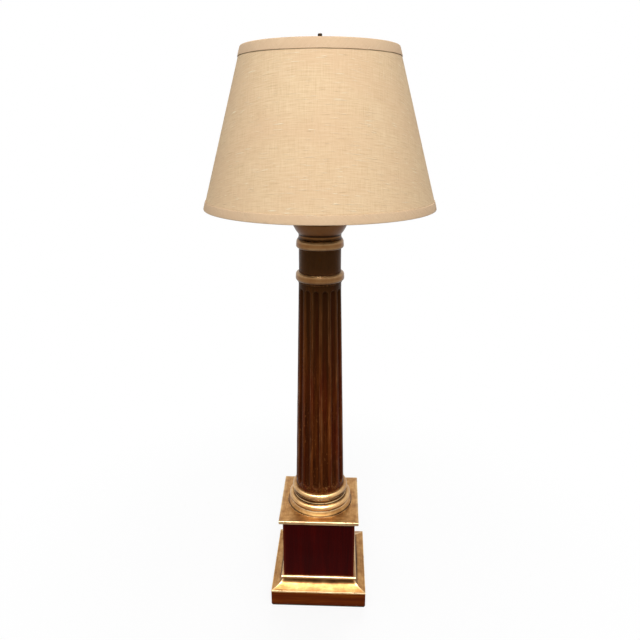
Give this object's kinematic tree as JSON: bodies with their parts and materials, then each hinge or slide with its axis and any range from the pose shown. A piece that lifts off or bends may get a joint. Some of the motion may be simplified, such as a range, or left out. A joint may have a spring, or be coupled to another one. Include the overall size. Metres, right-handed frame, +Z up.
{
  "type": "table lamp",
  "caption": "Table lamp with a square plinth, a fluted tapering column, gilt mouldings, a harp and socket with a bulb, and a tapered linen shade held by a finial.",
  "frame": {"origin": "centre of the square foot, on the table", "axes": "+Z up along the column, front is -Y, the harp stands in the XZ plane"},
  "size_m": [0.3779, 0.378, 1.0013],
  "materials": {
    "gilt": "gold leaf and bronze paint on wood, rubbed dark in the hollows",
    "mahogany_column": "dark mahogany, polished, worn lighter on the arrises",
    "mahogany_panel": "oxblood mahogany, high polish",
    "mahogany_base": "red-brown mahogany, satin polish",
    "ebonised_wood": "dark stained wood, satin",
    "plain_wood": "unfinished pine",
    "felt": "dark green felt",
    "cast_iron": "rough casting",
    "steel": "zinc plated",
    "brass": "polished and lacquered",
    "bronze": "dark oil-rubbed bronze",
    "insulating_card": "pressed card",
    "black_plastic": "moulded phenolic",
    "thread_shell": "rolled thread, bright",
    "linen": "slubby natural linen",
    "shade_lining": "white styrene lining",
    "linen_trim": "linen bias trim",
    "bulb_glass": "inside-frosted",
    "clear_glass": "clear",
    "black_glass": "fused black glass",
    "filament": "drawn tungsten wire"
  },
  "bodies": {
    "lamp": {"felt_pad": "felt", "base_slab": "mahogany_base", "cord_bushing": "brass", "base_moulding_front": "gilt", "base_moulding_right": "gilt", "base_moulding_back": "gilt", "base_moulding_left": "gilt", "plinth_panel_front": "mahogany_panel", "plinth_panel_right": "mahogany_panel", "plinth_panel_back": "mahogany_panel", "plinth_panel_left": "mahogany_panel", "corner_blocks": "plain_wood", "plinth_top_block": "plain_wood", "plinth_cap": "gilt", "ballast_weight": "cast_iron", "ballast_nut": "steel", "bottom_nut": "steel", "bottom_washer": "steel", "column_base": "gilt", "column_shaft": "mahogany_column", "astragal": "gilt", "neck_drum": "mahogany_column", "capital": "gilt", "abacus": "ebonised_wood", "threaded_rod": "steel", "vase_cap": "brass", "neck_tube": "brass", "harp_saddle": "brass", "lock_nut": "steel", "socket_cap": "brass", "socket_shell": "brass", "socket_liner": "insulating_card", "socket_body": "black_plastic", "socket_screw_shell": "thread_shell", "centre_contact": "brass", "terminal_screws": "brass", "harp_wire": "brass", "harp_stud": "brass"},
    "shade": {"shade_linen": "linen", "shade_liner": "shade_lining", "shade_top_trim": "linen_trim", "shade_bottom_trim": "linen_trim", "shade_top_ring": "steel", "shade_bottom_ring": "steel", "spider_arms": "steel", "spider_hub": "brass"},
    "finial": {"finial_base": "bronze", "finial_knob": "bronze"},
    "harp_lock_left": {"harp_sleeve_left": "brass"},
    "harp_lock_right": {"harp_sleeve_right": "brass"},
    "switch_key": {"switch_spindle": "brass", "switch_knob": "black_plastic"},
    "bulb": {"bulb_glass": "bulb_glass", "bulb_screw_cap": "thread_shell", "bulb_insulator": "black_glass", "bulb_contact": "thread_shell", "bulb_stem": "clear_glass", "bulb_filament": "filament"}
  },
  "joints": [
    {"name": "shade_turn", "type": "hinge", "parent": "lamp", "child": "shade", "pos_m": [0, 0, 0.9684], "axis": [0, 0, 1], "continuous": true},
    {"name": "finial_turn", "type": "hinge", "parent": "lamp", "child": "finial", "pos_m": [0, 0, 0.97], "axis": [0, 0, 1], "range_deg": [0, 3240]},
    {"name": "bulb_turn", "type": "hinge", "parent": "lamp", "child": "bulb", "pos_m": [0, 0, 0.8], "axis": [0, 0, 1], "range_deg": [0, 1800]},
    {"name": "switch_key_turn", "type": "hinge", "parent": "lamp", "child": "switch_key", "pos_m": [0, -0.02, 0.7831], "axis": [0, -1, 0], "continuous": true},
    {"name": "harp_lock_left_slide", "type": "slide", "parent": "lamp", "child": "harp_lock_left", "axis": [0, 0, 1], "range_m": [0, 0.012]},
    {"name": "harp_lock_right_slide", "type": "slide", "parent": "lamp", "child": "harp_lock_right", "axis": [0, 0, 1], "range_m": [0, 0.012]}
  ]
}
